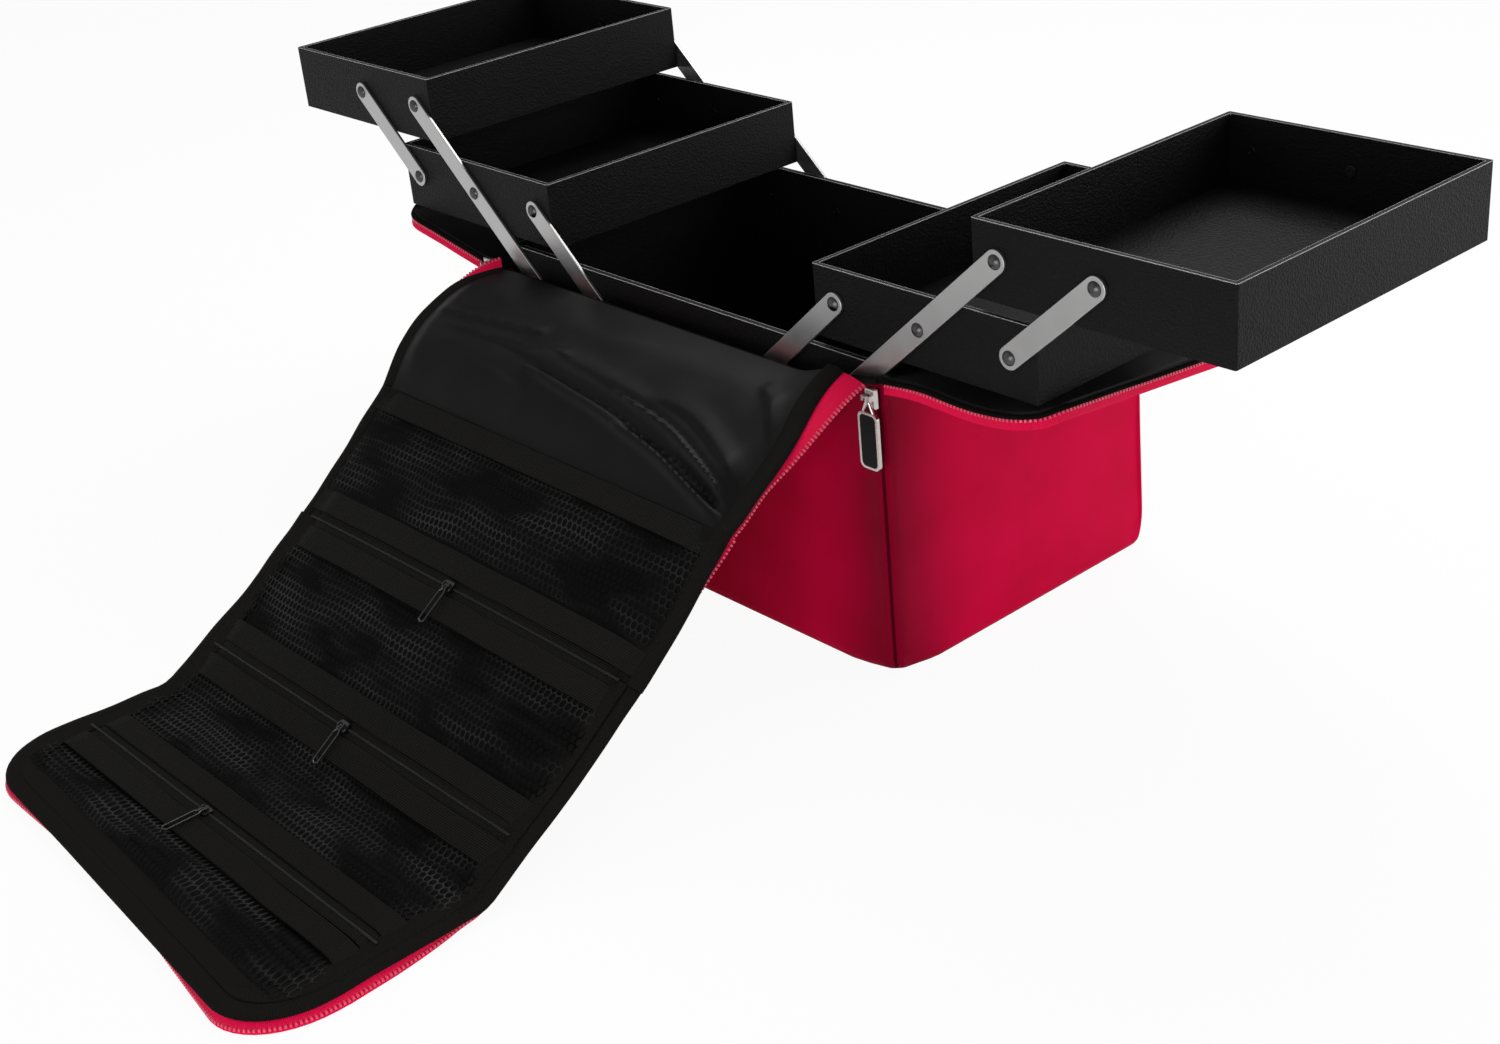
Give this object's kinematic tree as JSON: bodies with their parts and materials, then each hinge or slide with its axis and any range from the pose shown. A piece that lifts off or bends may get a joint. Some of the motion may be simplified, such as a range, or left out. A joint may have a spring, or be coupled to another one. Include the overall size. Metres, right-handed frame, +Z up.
{
  "type": "makeup train case",
  "caption": "Soft-sided makeup train case opened out: padded bag round a stiff box, cantilever trays on riveted links, and a long fold-out flap with zipped net pockets.",
  "frame": {"origin": "centre of the bag's flat bottom face, on the table", "axes": "+X to the right seen from the flap side, along the opened trays; +Y to the back, away from the flap; +Z up"},
  "size_m": [0.856, 0.6856, 0.3093],
  "materials": {
    "red_nylon": "crimson woven nylon over foam, soft sheen",
    "red_zip": "red zip tape with coil teeth",
    "black_lining": "black satin nylon lining, wrinkled",
    "black_net": "black polyester net",
    "black_zip": "black zip tape and coil",
    "black_metal": "black lacquered zip hardware",
    "black_leatherette": "fine-grained black leatherette over board",
    "link_aluminium": "satin brushed",
    "rivet_steel": "polished domed steel",
    "pale_metal": "bright pale nickel",
    "black_inlay": "smooth black enamel"
  },
  "bodies": {
    "case": {"bag_body": "red_nylon", "inner_box": "black_leatherette", "back_zip_tape": "red_zip", "box_rivets": "rivet_steel", "right_main_slider": "pale_metal", "left_main_slider": "pale_metal"},
    "right_long_links": {"right_long_link_front": "link_aluminium", "right_long_link_rear": "link_aluminium"},
    "right_lower_links": {"right_lower_link_front": "link_aluminium", "right_lower_link_rear": "link_aluminium"},
    "right_upper_links": {"right_upper_link_front": "link_aluminium", "right_upper_link_rear": "link_aluminium"},
    "right_lower_tray": {"right_lower_tray": "black_leatherette", "right_lower_tray_rivets": "rivet_steel"},
    "right_upper_tray": {"right_upper_tray": "black_leatherette", "right_upper_tray_rivets": "rivet_steel"},
    "right_collar": {"right_collar_cover": "red_nylon", "right_collar_lining": "black_lining", "right_collar_zip": "red_zip"},
    "right_main_pull": {"right_main_pull": "pale_metal", "right_main_pull_inlay": "black_inlay"},
    "left_long_links": {"left_long_link_front": "link_aluminium", "left_long_link_rear": "link_aluminium"},
    "left_lower_links": {"left_lower_link_front": "link_aluminium", "left_lower_link_rear": "link_aluminium"},
    "left_upper_links": {"left_upper_link_front": "link_aluminium", "left_upper_link_rear": "link_aluminium"},
    "left_lower_tray": {"left_lower_tray": "black_leatherette", "left_lower_tray_rivets": "rivet_steel"},
    "left_upper_tray": {"left_upper_tray": "black_leatherette", "left_upper_tray_rivets": "rivet_steel"},
    "left_collar": {"left_collar_cover": "red_nylon", "left_collar_lining": "black_lining", "left_collar_zip": "red_zip"},
    "left_main_pull": {"left_main_pull": "pale_metal", "left_main_pull_inlay": "black_inlay"},
    "flap_front": {"flap_front_cover": "red_nylon", "flap_front_lining": "black_lining", "flap_front_zip": "red_zip"},
    "flap_top": {"flap_top_cover": "red_nylon", "flap_top_lining": "black_lining", "flap_top_zip": "red_zip", "pocket_mesh_1": "black_net", "pocket_mesh_2": "black_net", "pocket_zip_1": "black_zip", "pocket_zip_2": "black_zip", "carry_handle": "red_nylon"},
    "flap_back": {"flap_back_cover": "red_nylon", "flap_back_lining": "black_lining", "flap_back_zip": "red_zip", "pocket_mesh_3": "black_net", "pocket_mesh_4": "black_net", "pocket_zip_3": "black_zip"},
    "pocket_slider_1": {"pocket_slider_1": "black_metal"},
    "pocket_pull_1": {"pocket_pull_1": "black_metal"},
    "pocket_slider_2": {"pocket_slider_2": "black_metal"},
    "pocket_pull_2": {"pocket_pull_2": "black_metal"},
    "pocket_slider_3": {"pocket_slider_3": "black_metal"},
    "pocket_pull_3": {"pocket_pull_3": "black_metal"}
  },
  "joints": [
    {"name": "right_trays_close", "type": "hinge", "parent": "case", "child": "right_long_links", "pos_m": [0.15403, 0, 0.1825], "axis": [0, -1, 0], "range_deg": [0, 102.96]},
    {"name": "right_lower_tray_level", "type": "hinge", "parent": "right_long_links", "child": "right_lower_tray", "pos_m": [0.21403, 0, 0.23542], "axis": [0, -1, 0], "range_deg": [-102.96, 0]},
    {"name": "right_upper_tray_level", "type": "hinge", "parent": "right_long_links", "child": "right_upper_tray", "pos_m": [0.27403, 0, 0.28833], "axis": [0, -1, 0], "range_deg": [-102.96, 0]},
    {"name": "right_lower_links_swing", "type": "hinge", "parent": "case", "child": "right_lower_links", "pos_m": [0.08603, 0, 0.1825], "axis": [0, -1, 0], "range_deg": [0, 102.96]},
    {"name": "right_upper_links_swing", "type": "hinge", "parent": "right_lower_tray", "child": "right_upper_links", "pos_m": [0.28203, 0, 0.23542], "axis": [0, -1, 0], "range_deg": [0, 102.96]},
    {"name": "right_collar_raise", "type": "hinge", "parent": "case", "child": "right_collar", "pos_m": [0.1905, 0, 0.1873], "axis": [0, -1, 0], "range_deg": [0, 94]},
    {"name": "right_main_pull_swing", "type": "hinge", "parent": "case", "child": "right_main_pull", "pos_m": [0.1875, -0.131, 0.193], "axis": [-1, 0, 0], "range_deg": [0, 150]},
    {"name": "left_trays_close", "type": "hinge", "parent": "case", "child": "left_long_links", "pos_m": [-0.15403, 0, 0.1825], "axis": [0, 1, 0], "range_deg": [0, 102.96]},
    {"name": "left_lower_tray_level", "type": "hinge", "parent": "left_long_links", "child": "left_lower_tray", "pos_m": [-0.21403, 0, 0.23542], "axis": [0, 1, 0], "range_deg": [-102.96, 0]},
    {"name": "left_upper_tray_level", "type": "hinge", "parent": "left_long_links", "child": "left_upper_tray", "pos_m": [-0.27403, 0, 0.28833], "axis": [0, 1, 0], "range_deg": [-102.96, 0]},
    {"name": "left_lower_links_swing", "type": "hinge", "parent": "case", "child": "left_lower_links", "pos_m": [-0.08603, 0, 0.1825], "axis": [0, 1, 0], "range_deg": [0, 102.96]},
    {"name": "left_upper_links_swing", "type": "hinge", "parent": "left_lower_tray", "child": "left_upper_links", "pos_m": [-0.28203, 0, 0.23542], "axis": [0, 1, 0], "range_deg": [0, 102.96]},
    {"name": "left_collar_raise", "type": "hinge", "parent": "case", "child": "left_collar", "pos_m": [-0.1905, 0, 0.1873], "axis": [0, 1, 0], "range_deg": [0, 94]},
    {"name": "left_main_pull_swing", "type": "hinge", "parent": "case", "child": "left_main_pull", "pos_m": [-0.1875, -0.131, 0.193], "axis": [-1, 0, 0], "range_deg": [0, 150]},
    {"name": "flap_close", "type": "hinge", "parent": "case", "child": "flap_front", "pos_m": [0, -0.125, 0.1873], "axis": [-1, 0, 0], "range_deg": [0, 114]},
    {"name": "flap_top_fold", "type": "hinge", "parent": "flap_front", "child": "flap_top", "pos_m": [0, -0.2361, 0.1455], "axis": [-1, 0, 0], "range_deg": [0, 100.74]},
    {"name": "flap_back_fold", "type": "hinge", "parent": "flap_top", "child": "flap_back", "pos_m": [0, -0.43497, 0.0076], "axis": [-1, 0, 0], "range_deg": [0, 55.26]},
    {"name": "pocket_zip_1_slide", "type": "slide", "parent": "flap_top", "child": "pocket_slider_1", "axis": [1, 0, 0], "range_m": [-0.163, 0.137]},
    {"name": "pocket_pull_1_flip", "type": "hinge", "parent": "pocket_slider_1", "child": "pocket_pull_1", "pos_m": [0.013, -0.3209, 0.0923], "axis": [-1, 0, 0], "range_deg": [0, 180]},
    {"name": "pocket_zip_2_slide", "type": "slide", "parent": "flap_top", "child": "pocket_slider_2", "axis": [1, 0, 0], "range_m": [-0.161, 0.139]},
    {"name": "pocket_pull_2_flip", "type": "hinge", "parent": "pocket_slider_2", "child": "pocket_pull_2", "pos_m": [0.011, -0.40554, 0.0336], "axis": [-1, 0, 0], "range_deg": [0, 180]},
    {"name": "pocket_zip_3_slide", "type": "slide", "parent": "flap_back", "child": "pocket_slider_3", "axis": [1, 0, 0], "range_m": [-0.144, 0.156]},
    {"name": "pocket_pull_3_flip", "type": "hinge", "parent": "pocket_slider_3", "child": "pocket_pull_3", "pos_m": [-0.006, -0.49197, 0.0122], "axis": [-1, 0, 0], "range_deg": [0, 180]}
  ],
  "couplings": [
    {"joint": "right_lower_tray_level", "follows": "right_trays_close", "ratio": -1},
    {"joint": "right_upper_tray_level", "follows": "right_trays_close", "ratio": -1},
    {"joint": "right_lower_links_swing", "follows": "right_trays_close", "ratio": 1},
    {"joint": "right_upper_links_swing", "follows": "right_trays_close", "ratio": 1},
    {"joint": "right_collar_raise", "follows": "right_trays_close", "ratio": 0.91294},
    {"joint": "left_lower_tray_level", "follows": "left_trays_close", "ratio": -1},
    {"joint": "left_upper_tray_level", "follows": "left_trays_close", "ratio": -1},
    {"joint": "left_lower_links_swing", "follows": "left_trays_close", "ratio": 1},
    {"joint": "left_upper_links_swing", "follows": "left_trays_close", "ratio": 1},
    {"joint": "left_collar_raise", "follows": "left_trays_close", "ratio": 0.91294}
  ]
}
